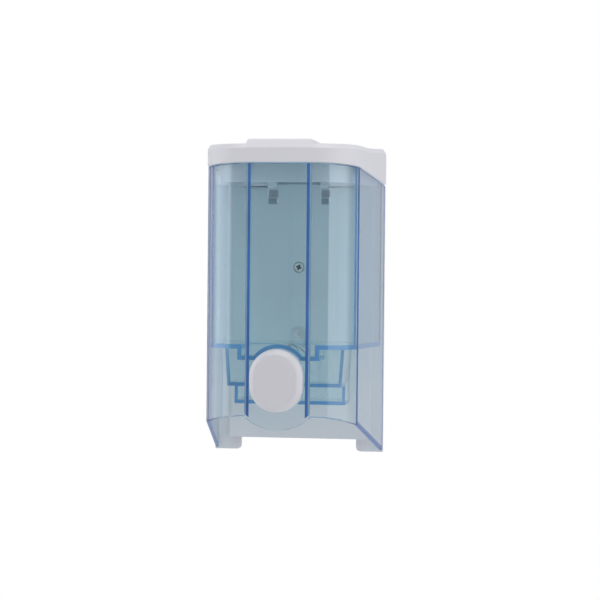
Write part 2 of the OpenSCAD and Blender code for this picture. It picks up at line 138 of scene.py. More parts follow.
# Cover
COVER_T = 2.2
COVER_EDGE = 0.5                # radius of the cover's lower edges
COVER_TOP_EDGE = 0.25
CREASE_STRIP = 0.7              # width of the painted shade line along the cover's corner
TANK_STRIP = 2.5                # and along the tank's
SEAM_H = 179.4                  # between cover and lid, at the wall
SEAM_SLOPE = 0.11
SEAM_GAP = 0.3
SKIRT_H = 0.5                   # the cover's lower edge, at the wall
SKIRT_SLOPE = 0.302
LOBE_LOW = 20                   # lowest point of the lobe under the button
LOBE_R = 30.4

# Lid and hinge
LID_H = 202
LID_REAR_H = 204.1              # the top rises to this at the wall
LID_FLAT_D = 45                 # and is flat in front of this depth
LIFT_SOFT = 6                   # how softly the rise begins
LID_OUT = 0.3                   # how far the lid stands out of the cover's sides
LID_T = 2.2
LID_BEVEL = (1.7, 2.9)          # depth and height of the lid's bevelled top edge
BAND_BEVEL = (2.4, 5.6)         # the same of the band's front edge
BAND_BASE = 21.3                # half the band's width at its foot
BAND_HALF = 20.5                # and at its top
BAND_BACK = 16
LIP_IN = 6.7
LIP_T = 1.8
LIP_BACK = 3.2                  # how far the lip's plan is moved towards the wall
LIP_REAR = 10
LIP_NOTCH = 14.5                # half the gap in the lip's rear wall
RIB_HALF = 2.6                  # of the ribs on that wall
KNUCKLE_R = 2.45
PIN_R = 1.25
PIN_FIT = (0.02, 0.05)          # around the pin, in the tank and in the lid
TANK_KNUCKLE = (28, 40)
LID_KNUCKLE = (40.4, 51)
LID_MIDDLE_KNUCKLE = 20         # half the length of the lid's middle knuckle
KNUCKLE_ROOM = 0.4              # left in the lid beside the tank's knuckles
LID_REAR_R = 2.75               # the lid's rear is round about the hinge
LID_BACK = HINGE_D - LID_REAR_R
LID_REAR_LOW = 180.25           # the rim is cut back to this height
LID_REAR_CUT = 5.5              # behind this depth

# Tank
TANK_IN = 2.8                   # from the cover's outside to the tank's
TANK_T = 2
TANK_BACK = 7
TANK_TOP = 195
FLOOR_H = 71.6
FLOOR_T = 2.9
SUMP_D = 67
SUMP_TOP_HALF = 39.2
SUMP_LOW_HALF = 37.3
SHELF_H = 46.6                  # underside of the sump in front of the well
WELL_D = 42
SUMP_FLOOR_T = 2.4
DROP_HALF = 26.2                # half the width of the floor's lower part, in front of the sump
DROP_H = 64.6
DROP_T = 2.7
SPIGOT_BORE_R = 5.2             # hole for the pump's spigot
EDGE_PROUD = 0.05               # how far a floor's edge stands out of the front wall

# Button
BUTTON_MID = 2.9                # half the button's straight side
BUTTON_WALL = 1.8
BUTTON_INNER_D = BUTTON_D - 3
BUTTON_CHAMFER = 2.9
BUTTON_CROWN = 0.3              # how much the face bulges
SHOULDER_R = 0.9                # between the side and the chamfer
FACE_EDGE_R = 2.6               # between the chamfer and the face
BUTTON_GAP = 0.5                # between button and cover
ROD_BOSS_R = 5.5                # holds the piston's rod
ROD_HOLE_R = 3.52
ARCH_H = BUTTON_H + BUTTON_MID
ARCH_IN = BUTTON_HALF + 0.6
ARCH_OUT = ARCH_IN + 2.4

# Return spring
SPRING_R = 9.4
WIRE_R = 0.5
SPRING_TURNS = 6
SPRING_DEAD = 0.6               # turns that lie flat at each end

# Back plate and screw
PLATE_T = 2.5
FIELD_HALF = 47
FIELD_TOP = 180
PLATE_FOOT = 8.4                # underside of the plate between its feet
FOOT_X = 39.3
FOOT_R = 3.2
TONGUE_HALF = 50                # the plate's narrower top, behind the lid
PLATE_RIB_HALF = 1.2            # of the upright rib on the plate's back
PLATE_RIBS = ((95, 105), (40, 42.4), (150, 152.4))     # lowest and highest h of the level ribs
SLOT_X = 18
SLOT_HALF = 3.5
SLOT_LOW = 166.5
SLOT_HIGH = 176.5
SCREW_HOLE_R = 2.25
SCREW_SINK_R = 3.7
SCREW_BOSS_R = 7
SCREW_TURN = 20                 # degrees that the cross is turned
CROSS_ARM = 2.3
CROSS_HALF = 1.0
POCKET_HALF = 5.4
POCKET_TOP = 84.4
POCKET_LOW = 70
POCKET_DEEP = 2
POCKET_PAD_HALF = 8             # solid stretch behind the pocket

# ---- outlines ----


def arc(x, y, r, start, end, steps):
    """Points of an arc about (x, y), between two angles in degrees."""
    turns = [math.radians(start + (end - start) * i / steps) for i in range(steps + 1)]
    return [(x + r * math.cos(t), y + r * math.sin(t)) for t in turns]


def circle(x, y, r, steps):
    return arc(x, y, r, 0, 360 - 360 / steps, steps - 1)


def rectangle(x0, x1, y0, y1):
    return [(x0, y0), (x1, y0), (x1, y1), (x0, y1)]


def oval(more):
    """The button's outline as (x, h), grown by more."""
    r = BUTTON_HALF + more
    upper = arc(0, BUTTON_H + BUTTON_MID, r, 0, 180, OVAL_STEPS)
    lower = arc(0, BUTTON_H - BUTTON_MID, r, 180, 360, OVAL_STEPS)
    return upper + lower


def rounded(corners):
    """An outline with its corners rounded. A corner is (x, y, radius)."""
    points = []
    for i, (x, y, r) in enumerate(corners):
        here = Vector((x, y))
        if r == 0:
            points.append((x, y))
            continue
        before = (Vector(corners[i - 1][:2]) - here).normalized()
        after = (Vector(corners[(i + 1) % len(corners)][:2]) - here).normalized()
        half = before.angle(after) / 2
        middle = here + (before + after).normalized() * (r / math.sin(half))
        start = here + before * (r / math.tan(half)) - middle
        end = here + after * (r / math.tan(half)) - middle
        bend = start.angle_signed(end)
        for s in range(ROUND_STEPS + 1):
            turn = Matrix.Rotation(-bend * s / ROUND_STEPS, 2)
            points.append(tuple(middle + turn @ start))
    return points


def crease_of(half, r):
    """Where the side's line meets the cheek's circle, as (x, d)."""
    k = half - CHEEK_X
    a = SIDE_SLOPE ** 2 + 1
    b = -2 * (k * SIDE_SLOPE + CHEEK_D)
    c = k ** 2 + CHEEK_D ** 2 - r ** 2
    d = (-b + math.sqrt(b * b - 4 * a * c)) / (2 * a)
    return half - SIDE_SLOPE * d, d


def half_plan(inset, back, panel=True, step=PANEL_STEP, out=0, edge_strip=1.0):
    """The right half of the housing's plan as (x, d), from the depth back to the middle of the front.

    It is drawn in by inset, and out widens the sides only. Without panel, the front runs level
    across, step behind the panel. A narrow strip of width edge_strip ends the side at the corner.
    The number of points depends on back alone.
    """
    half = REAR_HALF + out - inset
    front = PANEL_D - step - inset
    r = CHEEK_R + PANEL_STEP - step - inset
    crease = crease_of(half, r)
    start = math.degrees(math.atan2(crease[1] - CHEEK_D, crease[0] - CHEEK_X))
    stops = [back] + [d for d in SIDE_STOPS if d > back + APART / 2]
    side = [(half - SIDE_SLOPE * d, d) for d in stops + [crease[1] - edge_strip]]
    cheek = arc(CHEEK_X, CHEEK_D, r, start, 90, CHEEK_STEPS)
    if panel:
        proud = PANEL_D - inset
        edge = PANEL_HALF - inset
        hollow = arc(JOG_HOLLOW, front + JOG_HOLLOW, JOG_HOLLOW, 270, 180, JOG_STEPS)
        jog = [(edge + JOG_STRETCH * x, d) for x, d in hollow]
        jog += arc(edge - JOG_EDGE, proud - JOG_EDGE, JOG_EDGE, 0, 90, JOG_STEPS)
    else:
        proud = front
        wide, narrow = PANEL_HALF + JOG_STRETCH * JOG_HOLLOW, PANEL_HALF - JOG_EDGE
        count = 2 * JOG_STEPS + 1
        jog = [(wide + (narrow - wide) * i / count, front) for i in range(count + 1)]
        edge = PANEL_HALF
    face = [((edge - EDGE_LINE) * (1 - i / (PANEL_STEPS - 1)), proud) for i in range(PANEL_STEPS)]
    return side + cheek + jog + face


def full_plan(*args, **options):
    """The whole plan, from the left rear round the front to the right rear."""
    half = half_plan(*args, **options)
    return [(-x, d) for x, d in half] + half[-2::-1]


# ---- meshes ----


def place(x, d, h):
    """A point of the object as a point of the frame, in metres."""
    return Vector((x, -d, h - ORIGIN_H)) * MM


def add_mesh(name, bm):
    """An object with stand-ins for up to three materials, which finish_piece replaces."""
    mesh = bpy.data.meshes.new(name)
    bmesh.ops.recalc_face_normals(bm, faces=bm.faces)
    bm.to_mesh(mesh)
    for stand_in in ("inside", "edge", "glint"):
        mesh.materials.append(bpy.data.materials.get(stand_in) or bpy.data.materials.new(stand_in))
    bm.free()
    piece = bpy.data.objects.new(name, mesh)
    scene.collection.objects.link(piece)
    return piece


def sweep(sections, material_of=None, caps=0):
    """A skin over sections, each a closed ring of points (x, d, h)."""
    bm = bmesh.new()
    rings = [[bm.verts.new(place(*p)) for p in ring] for ring in sections]
    count = len(rings[0])
    for i in range(len(rings) - 1):
        for j in range(count):
            k = (j + 1) % count
            face = bm.faces.new((rings[i][j], rings[i][k], rings[i + 1][k], rings[i + 1][j]))
            face.material_index = material_of(i, j) if material_of else 0
    for ring in (rings[0], rings[-1][::-1]):
        bm.faces.new(ring).material_index = caps
    return add_mesh("sweep", bm)


def prism(outline, axis, low, high, material_of=None):
    """An outline drawn out between two places: (x, d) along h, (x, h) along d or (d, h) along x."""
    if axis == "h":
        rings = [[(x, d, at) for x, d in outline] for at in (low, high)]
    elif axis == "d":
        rings = [[(x, at, h) for x, h in outline] for at in (low, high)]
    else:
        rings = [[(at, d, h) for d, h in outline] for at in (low, high)]
    return sweep(rings, material_of=material_of)


def paint_shade(piece):
    """Gives a whole solid the second material, which paints shade on it."""
    for face in piece.data.polygons:
        face.material_index = 1
    return piece


def bar(r, d0, d1, h=PUMP_H, r_end=None, steps=BAR_STEPS):
    """A round bar along the depth, which may taper to r_end."""
    ends = ((r, d0), (r if r_end is None else r_end, d1))
    return sweep([[(x, d, z) for x, z in circle(0, h, radius, steps)] for radius, d in ends])


def hinge_bar(r, x0, x1):
    return prism(circle(HINGE_D, HINGE_H, r, HINGE_STEPS), "x", x0, x1)


def box(x0, x1, d0, d1, h0, h1):
    return prism(rectangle(x0, x1, d0, d1), "h", h0, h1)


def apply_modifiers(piece):
    graph = bpy.context.evaluated_depsgraph_get()
    made = bpy.data.meshes.new_from_object(piece.evaluated_get(graph), depsgraph=graph)
    old = piece.data
    piece.modifiers.clear()
    piece.data = made
    bpy.data.meshes.remove(old)
    return piece


def boolean(base, tools, operation):
    for tool in tools:
        step = base.modifiers.new("step", "BOOLEAN")
        step.operation = operation
        step.solver = "MANIFOLD"
        step.object = tool
        apply_modifiers(base)
        bpy.data.objects.remove(tool)
    return base


def join(base, *tools):
    return boolean(base, tools, "UNION")


def cut(base, *tools):
    return boolean(base, tools, "DIFFERENCE")


def common(base, *tools):
    return boolean(base, tools, "INTERSECT")


def round_edges(piece, width, angle=35):
    """Merges the slivers left by the cuts, and rounds the edges that are sharper than angle."""
    bm = bmesh.new()
    bm.from_mesh(piece.data)
    bmesh.ops.remove_doubles(bm, verts=bm.verts, dist=WELD_DIST * MM)
    bmesh.ops.dissolve_degenerate(bm, edges=bm.edges, dist=SLIVER_DIST * MM)
    bmesh.ops.triangulate(bm, faces=[f for f in bm.faces if len(f.verts) > 4])
    bm.to_mesh(piece.data)
    bm.free()
    edge = piece.modifiers.new("round", "BEVEL")
    edge.width = width * MM
    edge.segments = 3
    edge.limit_method = "ANGLE"
    edge.angle_limit = math.radians(angle)
    edge.use_clamp_overlap = False
    return apply_modifiers(piece)


def smooth(piece):
    """Smooth shading on finely stepped curves only, so that a flat wall doesn't bend what is behind it."""
    piece.data.polygons.foreach_set("use_smooth", [True] * len(piece.data.polygons))
    piece.data.set_sharp_from_angle(angle=math.radians(SMOOTH_ANGLE))


def finish_piece(piece, name, body, nodes, slot, *materials):
    """Names a piece, dresses it, hangs it on the empty of the body that it rides on, and hides the nodes
    that it stands for.
    """
    piece.name = name
    piece.data.name = name
    for i in range(3):
        piece.data.materials[i] = materials[min(i, len(materials) - 1)]
    smooth(piece)
    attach(piece, body)
    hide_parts(*nodes)
    return piece


# ---- front cover ----


def lobe_low(x):
    """Height of the lobe's lower edge."""
    return LOBE_LOW + LOBE_R - math.sqrt(LOBE_R ** 2 - x ** 2)


def cover_rim():
    """The wall's section as (end, inset, height from that end), from the outside round to the inside."""
    e, t, f = COVER_EDGE, COVER_T, COVER_TOP_EDGE
    nip = 0.3 * e               # from a corner to its rounding, in both directions
    low = [(0, e + EDGE_LINE), (0, e), (nip, nip), (e, 0), (t - e, 0), (t - nip, nip), (t, e)]
    high = [(t, -f), (t - f, 0), (f, 0), (0, -f)]
    return [("low", *p) for p in low] + [("high", *p) for p in high]


def make_front_cover(clear, edge, glint):
    rim = cover_rim()
    plans = {inset: full_plan(inset, COVER_BACK, panel=inset < COVER_T / 2, edge_strip=CREASE_STRIP)
             for _, inset, _ in rim}
    count = len(plans[0])
    middle = count // 2
    panel_end = PANEL_STEPS + JOG_STEPS
    jog_end = panel_end + 1 + JOG_STEPS
    crease = jog_end + CHEEK_STEPS
    low_faces = sum(end == "low" for end, _, _ in rim) - 1

    def section(i):
        ring = []
        for end, inset, lift in rim:
            x, d = plans[inset][i]
            if end == "high":
                h = SEAM_H - SEAM_GAP / 2 + SEAM_SLOPE * d
            elif abs(i - middle) < jog_end:
                h = lobe_low(min(abs(plans[0][i][0]), PANEL_HALF))
            else:
                h = SKIRT_H + SKIRT_SLOPE * d
            ring.append((x, d, h + lift))
        return ring

    def material_of(i, j):
        """The panel's edges, the corners, the rear ends and the slanting lower rim get painted shade, and
        the hollows beside the panel's edges a painted highlight.
        """
        step = abs(i + 0.5 - middle)
        if j < len(rim) - 1:
            return int(j < low_faces and step > crease)
        if panel_end + 1 < step < jog_end:
            return 2
        at_panel_edge = PANEL_STEPS - 1 < step < panel_end + 1
        at_corner = crease < step < crease + 1
        return int(at_panel_edge or at_corner or i in (0, count - 2))

    cover = sweep([section(i) for i in range(count)], material_of=material_of, caps=1)
    cut(cover, prism(oval(BUTTON_GAP), "d", PANEL_D - 10, PANEL_D + 5))
    finish_piece(cover, "clear_front_cover", "housing", ["front_cover"], "clear_blue", clear, edge, glint)


# ---- tank ----


def sump_outline(inset, low):
    """The sump's outline as (x, h). Its sides lean in down to the shelf, and stand straight below it."""
    top = FLOOR_H + FLOOR_T - 0.5
    upper, lower = SUMP_TOP_HALF - inset, SUMP_LOW_HALF - inset
    if low < SHELF_H:
        turn = [(lower, SHELF_H)]
    else:
        turn = []
        lower += (upper - lower) * (low - SHELF_H) / (top - SHELF_H)
    right = [(upper, top)] + turn + [(lower, low)]
    return [(-x, h) for x, h in right] + right[::-1]


def tank_plan(inset, back):
    return full_plan(inset, back, panel=False, edge_strip=TANK_STRIP)


def tank_block(inset, back, low, high, material_of=None):
    return prism(tank_plan(inset, back), "h", low, high, material_of)


def floor_edge():
    """The floor's edge where it meets the front wall: a band that steps down and arches over the button,
    painted with shade.
    """
    proud = TANK_IN - EDGE_PROUD
    top = FLOOR_H + FLOOR_T
    side = DROP_HALF - DROP_T
    band = tank_block(proud, TANK_BACK + 0.1, FLOOR_H, top)
    cut(band, box(-side, side, SUMP_D, FAR, FLOOR_H - 1, top + 1))
    step = common(tank_block(proud, SUMP_D, DROP_H, top), box(-DROP_HALF, DROP_HALF, 0, FAR, 0, top + 1))
    cut(step, box(-side, side, 0, FAR, DROP_H + DROP_T, top + 1))
    arch = common(tank_block(proud, SUMP_D, DROP_H, ARCH_H + FAR),
                  bar(ARCH_OUT, SUMP_D - 1, FAR, ARCH_H, steps=ARCH_STEPS))
    join(band, step, arch)
    return paint_shade(band)


def sump_edge(low, floor_t, d):
    """The edges of the sump's walls and floor where they meet its front wall."""
    edge = prism(sump_outline(0, low), "d", d - 0.6, d + EDGE_PROUD)
    cut(edge, prism(sump_outline(TANK_T, low + floor_t), "d", d - 1, d + 1),
        box(-FAR, FAR, d - 1, d + 1, FLOOR_H - 0.5, FAR))
    return edge


def tank_knuckle(side):
    """A knuckle of the hinge, on a web that leans back from the tank's rear wall."""
    x0, x1 = sorted(side * x for x in TANK_KNUCKLE)
    front = TANK_BACK + TANK_T
    web = [(TANK_BACK, TANK_TOP - 4), (front, TANK_TOP - 4), (front, TANK_TOP + 2),
           (HINGE_D + 2.2, HINGE_H), (HINGE_D, HINGE_H - KNUCKLE_R + 0.1)]
    return join(hinge_bar(KNUCKLE_R, x0, x1), prism(web, "x", x0 + APART / 2, x1 - APART / 2))


def tank_hook(x):
    """A hook that goes through the plate's slot and down behind it."""
    front, inner, rear = TANK_BACK + 0.3, FIELD_D - PLATE_T - 0.3, 1
    under, top = SLOT_LOW + 0.3, SLOT_LOW + 4.5
    outline = [(front, under), (inner, under), (inner, SLOT_LOW - 5), (rear, SLOT_LOW - 4), (rear, top),
               (front, top)]
    return prism(outline, "x", x - SLOT_HALF + 0.5, x + SLOT_HALF - 0.5)


def make_tank(clear, edge):
    bore_in = TANK_IN + TANK_T
    inner_back, inner_front = TANK_BACK + TANK_T, SUMP_D - TANK_T
    floor_top = FLOOR_H + FLOOR_T
    plan = tank_plan(TANK_IN, TANK_BACK)
    middle = len(plan) // 2
    crease = PANEL_STEPS + 2 * JOG_STEPS + 1 + CHEEK_STEPS

    def material_of(i, j):
        """The corners get painted shade."""
        return int(crease - 1 < abs(j + 0.5 - middle) < crease + 1)

    body = tank_block(TANK_IN, TANK_BACK, FLOOR_H, TANK_TOP, material_of)
    drop = common(tank_block(TANK_IN, TANK_BACK, DROP_H, FLOOR_H + 1),
                  box(-DROP_HALF, DROP_HALF, inner_front, FAR, DROP_H, FLOOR_H + 2))
    slab = common(tank_block(TANK_IN + APART, SUMP_D, DROP_H + APART, DROP_H + DROP_T - APART),
                  box(-DROP_HALF - 1.5 * APART, DROP_HALF + 1.5 * APART, 0, FAR, DROP_H, FLOOR_H))
    well_edge = cut(sump_edge(WELL_H, SUMP_FLOOR_T, WELL_D), box(-FAR, FAR, 0, FAR, SHELF_H, FAR))
    # The slab, the floor's edge and the edges of the sump and the well get painted shade.
    join(body, drop, paint_shade(slab), prism(sump_outline(0, SHELF_H), "d", TANK_BACK, SUMP_D),
         prism(sump_outline(0, WELL_H), "d", TANK_BACK, WELL_D), floor_edge(),
         paint_shade(sump_edge(SHELF_H, SUMP_FLOOR_T, SUMP_D)), paint_shade(well_edge))
    space = tank_block(bore_in, inner_back, floor_top, TANK_TOP + 5)
    join(space, prism(sump_outline(TANK_T, SHELF_H + SUMP_FLOOR_T), "d", inner_back, inner_front),
         prism(sump_outline(TANK_T, WELL_H + SUMP_FLOOR_T), "d", inner_back, WELL_D - TANK_T))
    step = common(tank_block(bore_in, inner_back, DROP_H + DROP_T, floor_top + 0.5),
                  box(-DROP_HALF + DROP_T, DROP_HALF - DROP_T, inner_front - 1, FAR, DROP_H, floor_top + 5))
    join(space, step)
    cut(space, bar(ARCH_OUT, inner_front, FAR, ARCH_H, steps=ARCH_STEPS))
    cut(body, space)
    cut(body, bar(ARCH_IN, SUMP_D, FAR, ARCH_H, steps=ARCH_STEPS))
    cut(body, bar(SPIGOT_BORE_R, SUMP_D - 5, SUMP_D + 5))
    for side in SIDES:
        knuckle = cut(tank_knuckle(side), hinge_bar(PIN_R + PIN_FIT[0], -FAR, FAR))
        hook = tank_hook(side * SLOT_X)
        join(body, round_edges(knuckle, SMALL_EDGE), round_edges(hook, SMALL_EDGE))
    finish_piece(body, "clear_tank", "housing", ["tank"], "clear_blue", clear, edge)


# ---- lid ----


def lid_top(d):
    """Height of the lid's top at a depth. It rises towards the wall, and its rear is round."""
    ahead = max(0, LID_FLAT_D - d)
    share = ahead ** 2 / (ahead + LIFT_SOFT) * (LID_FLAT_D + LIFT_SOFT) / LID_FLAT_D ** 2
    top = LID_H + (LID_REAR_H - LID_H) * share
    if d < HINGE_D:
        top = min(top, HINGE_H + math.sqrt(max(0, LID_REAR_R ** 2 - (HINGE_D - d) ** 2)))
    return top


def lid_rim(d):
    """Height of the lid's lower edge, cut back at the wall to turn clear."""
    rim = SEAM_H + SEAM_GAP / 2 + SEAM_SLOPE * d
    return max(rim, LID_REAR_LOW) if d < LID_REAR_CUT else rim


def lid_shell():
    """The skirt and the top, as rings of the plan joined across at the top and underneath."""
    t = LID_T
    deep, tall = LID_BEVEL
    bevel = rounded([(0, -tall - 1, 0), (0, -tall, 0.6), (deep, 0, 0.9), (deep + 1, 0, 0)])
    stops = [(0.5, "rim", 0), (0.15, "rim", 0.15), (0, "rim", 0.5)]
    stops += [(inset, "top", lift) for inset, lift in bevel]
    under = [(t + 1, "top", -t), (t + 0.3, "top", -t - 0.3), (t, "top", -t - 1), (t, "rim", 0.3),
             (t - 0.3, "rim", 0)]
    bm = bmesh.new()
    rings = []
    for inset, edge, lift in stops + under:
        ring = []
        for x, d in full_plan(inset, LID_BACK, panel=False, step=0, out=LID_OUT):
            h = lid_rim(d) if edge == "rim" else lid_top(d)
            ring.append(bm.verts.new(place(x, d, h + lift)))
        rings.append(ring)
    last = len(rings[0]) - 1
    top, below = len(stops) - 1, len(stops)
    for k in range(len(rings)):
        if k == top:
            continue
        here, there = rings[k], rings[(k + 1) % len(rings)]
        for i in range(last):
            bm.faces.new((here[i], here[i + 1], there[i + 1], there[i]))
    for ring in (rings[top], rings[below]):
        for i in range(last // 2):
            corners = [ring[i], ring[i + 1], ring[last - i - 1], ring[last - i]]
            if corners[1] == corners[2]:
                corners.pop(1)
            bm.faces.new(corners)
    outline = [rings[k][0] for k in range(top + 1)] + [rings[k][last] for k in range(top, -1, -1)]
    outline += [rings[k][last] for k in range(len(rings) - 1, top, -1)]
    outline += [rings[k][0] for k in range(below, len(rings))]
    bm.faces.new(outline)
    return add_mesh("lid", bm)


def lid_band():
    """The raised band that runs back over the lid from the front panel."""
    front = PANEL_D - APART
    deep, tall = BAND_BEVEL
    low = LID_H - 6
    side_view = rounded([(front, low, 0), (front, BAND_H - tall, 1.5), (front - deep, BAND_H, 1.5),
                         (BAND_BACK + 6, BAND_H, 2), (BAND_BACK, LID_H + 1, 0), (BAND_BACK, LID_H - 1, 0)])
    foot = LID_H + 0.4
    front_view = rounded([(-BAND_BASE, low, 0), (-BAND_BASE, foot, 0.8), (-BAND_HALF, BAND_H, 1.4),
                          (BAND_HALF, BAND_H, 1.4), (BAND_BASE, foot, 0.8), (BAND_BASE, low, 0)])
    band = common(prism(side_view, "x", -BAND_BASE - 1, BAND_BASE + 1),
                  prism(front_view, "d", 0, PANEL_D + 1))
    return cut(band, prism(rectangle(0, PANEL_D - 2, low - 1, LID_H - 1.2), "x", -FAR, FAR))


def lid_lip():
    """The lip inside the tank's mouth, with its rear wall and ribs, painted with the shade under the lid.
    """
    def outline(inset, back):
        return [(x, d - LIP_BACK) for x, d in full_plan(inset, back + LIP_BACK, panel=False)]

    high = LID_H - 1
    lip = prism(outline(LIP_IN, LIP_REAR), "h", LIP_LOW, high)
    cut(lip, prism(outline(LIP_IN + LIP_T, LIP_REAR + LIP_T), "h", LIP_LOW - 1, high - LID_T + 0.5))
    cut(lip, box(-LIP_NOTCH, LIP_NOTCH, 0, LIP_REAR + LIP_T + 1, 0, LID_H - LID_T))
    for side in SIDES:
        x = side * SLOT_X
        join(lip, box(x - RIB_HALF, x + RIB_HALF, LIP_REAR + APART, LIP_REAR + 4, LIP_LOW + APART, high))
    return paint_shade(round_edges(lip, LIP_EDGE, angle=50))


def lid_hinge(x0, x1):
    """A knuckle of the hinge, on a web that hangs from the lid's top."""
    top = LID_REAR_H - LID_T + 0.2
    web = [(HINGE_D, HINGE_H), (HINGE_D + 2.4, HINGE_H), (HINGE_D + 4, top), (HINGE_D, top)]
    return join(hinge_bar(KNUCKLE_R, x0, x1), prism(web, "x", x0 + APART / 2, x1 - APART / 2))


def make_lid(white, shaded):
    lid = lid_shell()
    for side in SIDES:
        x0, x1 = sorted(side * x for x in TANK_KNUCKLE)
        cut(lid, box(x0 - KNUCKLE_ROOM, x1 + KNUCKLE_ROOM, -5, HINGE_D + 3, HINGE_H - 4, HINGE_H + 4))
    join(lid, lid_band(), lid_lip())
    for side in SIDES:
        join(lid, lid_hinge(*sorted(side * x for x in LID_KNUCKLE)))
    join(lid, lid_hinge(-LID_MIDDLE_KNUCKLE, LID_MIDDLE_KNUCKLE))
    reach = LID_KNUCKLE[1] + 0.3
    cut(lid, hinge_bar(PIN_R + PIN_FIT[1], -reach, reach))
    finish_piece(lid, "white_lid", "lid", ["lid"], "white_plastic", white, shaded)


# ---- button ----


def make_button(white):
    """An obround cap with a chamfered edge and a slightly crowned face. A stop is (inset, d)."""
    face = BUTTON_D - BUTTON_CROWN
    face_edge = BUTTON_CHAMFER + 1.1
    outside = [(0.3, BUTTON_BACK), (0, BUTTON_BACK + 0.3)]
    outside += arc(SHOULDER_R, face - BUTTON_CHAMFER - 0.55, SHOULDER_R, 180, 135, 5)
    outside += arc(face_edge, face - FACE_EDGE_R, FACE_EDGE_R, 135, 90, 6)
    crown = [(face_edge + 3 * i, BUTTON_D - BUTTON_CROWN * (1 - i / 4) ** 2) for i in range(1, 5)]
    w = BUTTON_WALL
    inside = [(w - 0.3, BUTTON_BACK - 0.5), (w - 0.3, BUTTON_BACK), (w, BUTTON_BACK + 0.3),
              (w, BUTTON_INNER_D - 0.6), (w + 0.6, BUTTON_INNER_D)]

    def skin(stops):
        return [[(x, d, h) for x, h in oval(-inset)] for inset, d in stops]

    button = cut(sweep(skin(outside + crown)), sweep(skin(inside)))
    boss = cut(bar(ROD_BOSS_R, BUTTON_INNER_D - 2, BUTTON_INNER_D + 0.1),
               bar(ROD_HOLE_R, BUTTON_INNER_D - 7, BUTTON_INNER_D))
    join(button, boss)
    finish_piece(button, "button_cap", "button", ["push_button"], "white_plastic", white)


# ---- back plate and screw ----


def plate_outline():
    """The plate with its two feet and its tongue, as (x, h)."""
    top = SEAM_H - SEAM_GAP
    right = [(TONGUE_HALF, TONGUE_H, 2), (TONGUE_HALF, top, 0), (REAR_HALF, top, 0.8), (REAR_HALF, 0, 0.8),
             (FOOT_X, 0, FOOT_R), (FOOT_X, PLATE_FOOT, 1)]
    left = [(-x, h, r) for x, h, r in right[::-1]]
    return rounded(left[1:] + right + left[:1])


def make_plate(white):
    """The plate, hollow behind its raised field apart from ribs, the screw's boss and the pocket's pad."""
    plate = prism(plate_outline(), "d", 0, PLATE_T)
    field = rectangle(-FIELD_HALF, FIELD_HALF, PLATE_FOOT, FIELD_TOP)
    join(plate, prism(field, "d", PLATE_T - 0.5, FIELD_D))
    round_edges(plate, PLATE_EDGE)
    edge = FIELD_HALF - PLATE_T
    hollow = box(-edge, edge, -1, FIELD_D - PLATE_T, PLATE_FOOT + PLATE_T, FIELD_TOP - PLATE_T)
    pad, rib = POCKET_PAD_HALF, PLATE_RIB_HALF
    cut(hollow, bar(SCREW_BOSS_R, -2, FIELD_D, SCREW_H),
        box(-pad, pad, -2, FIELD_D, POCKET_LOW - 4, POCKET_TOP + 4),
        box(-rib, rib, -2, FIELD_D, PLATE_FOOT, PLATE_FOOT + 100),
        *[box(-FAR, FAR, -2, FIELD_D, low, high) for low, high in PLATE_RIBS])
    cut(plate, hollow)
    for side in SIDES:
        x = side * SLOT_X
        cut(plate, box(x - SLOT_HALF, x + SLOT_HALF, -1, FIELD_D + 1, SLOT_LOW, SLOT_HIGH))
    hole_h = POCKET_TOP - POCKET_HALF
    pocket = arc(0, hole_h, POCKET_HALF, 0, 180, 32)
    pocket += [(-POCKET_HALF, POCKET_LOW), (POCKET_HALF, POCKET_LOW)]
    cut(plate, prism(pocket, "d", FIELD_D - POCKET_DEEP, FIELD_D + 1))
    for h in (SCREW_H, hole_h):
        cut(plate, bar(SCREW_HOLE_R, -1, FIELD_D + 1, h))
    sink_d = FIELD_D - 1.6
    cut(plate, bar(SCREW_HOLE_R, sink_d - 1, sink_d, SCREW_H, r_end=SCREW_SINK_R),
        bar(SCREW_SINK_R, sink_d, FIELD_D + 0.5, SCREW_H))
    finish_piece(plate, "wall_plate", "housing", ["back_plate"], "plate_plastic", white)


def make_screw(zinc, dark):
    """A countersunk wall screw with a cross recess."""
    shank = SCREW_HOLE_R - 0.25
    head = FIELD_D - 2.0
    profile = [(0.2, 0.0), (shank, 0.25), (shank, head), (3.0, head + 1.5), (3.1, head + 1.62),
               (3.05, head + 1.75), (2.0, head + 1.85), (0.6, head + 1.88)]
    screw = sweep([[(x, d, h) for x, h in circle(0, SCREW_H, r, 48)] for r, d in profile])
    for along, across in ((CROSS_ARM, CROSS_HALF), (CROSS_HALF, CROSS_ARM)):
        deep = [(0.5 * along, 0.5 * across, head + 0.2), (along, across, head + 3)]
        recess = sweep([[(x, d, SCREW_H + z) for x, z in rectangle(-a, a, -b, b)] for a, b, d in deep])
        # The recess's faces are painted black: painted shade.
        cut(screw, paint_shade(recess))
    turn = Matrix.Rotation(math.radians(SCREW_TURN), 4, "Y")
    axis = place(0, 0, SCREW_H)
    screw.data.transform(Matrix.Translation(axis) @ turn @ Matrix.Translation(-axis))
    finish_piece(screw, "wall_screw_head", "housing", ["wall_screw"], "steel", zinc, dark)


# ---- spring ----


